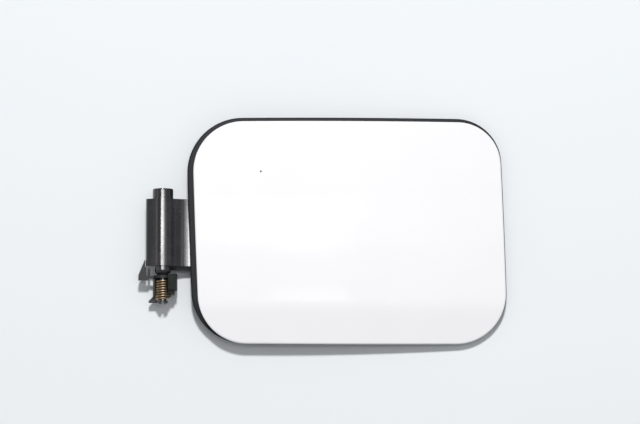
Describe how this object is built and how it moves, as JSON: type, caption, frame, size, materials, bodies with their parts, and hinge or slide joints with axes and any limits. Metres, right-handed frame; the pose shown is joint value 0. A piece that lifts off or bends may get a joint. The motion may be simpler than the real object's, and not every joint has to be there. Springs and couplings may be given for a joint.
{
  "type": "car fuel door",
  "caption": "Crowned car fuel door with a seal lip, ribbed inner panel, swept hinge arm, torsion spring and pivot bracket; it swings on the hinge axis and springs shut.",
  "frame": {"origin": "middle of the upper pivot pin, on the hinge axis", "axes": "+Y along the hinge axis, out of the upper pivot pin's end; +X from the hinge to the door's free edge; +Z out of the painted face"},
  "size_m": [0.2158, 0.1331, 0.019],
  "materials": {
    "paint": "gloss white paint on moulded plastic",
    "seal": "soft satin black",
    "inner": "fine-grained black",
    "arm": "gloss black moulding",
    "wire": "bronze-tinted spring wire",
    "bracket": "matt greenish black",
    "screws": "zinc-plated"
  },
  "bodies": {
    "bracket": {"pivot_bracket": "bracket", "torsion_spring": "wire"},
    "door": {"outer_panel": "paint", "edge_seal": "seal", "inner_panel": "inner", "hinge_arm": "arm", "latch_striker": "inner", "cap_hanger": "inner", "bump_stop_upper": "seal", "bump_stop_lower": "seal", "arm_screw_1": "screws", "arm_screw_2": "screws", "arm_screw_3": "screws", "arm_screw_4": "screws", "striker_screw_1": "screws", "striker_screw_2": "screws", "hanger_screw_1": "screws", "hanger_screw_2": "screws"}
  },
  "joints": [
    {"name": "door_hinge", "type": "hinge", "parent": "bracket", "child": "door", "pos_m": [0, 0, 0], "axis": [0, -1, 0], "range_deg": [0, 95], "stiffness_Nm_per_rad": 0.05, "springref_deg": -114.59, "deforming": ["torsion_spring"]}
  ]
}
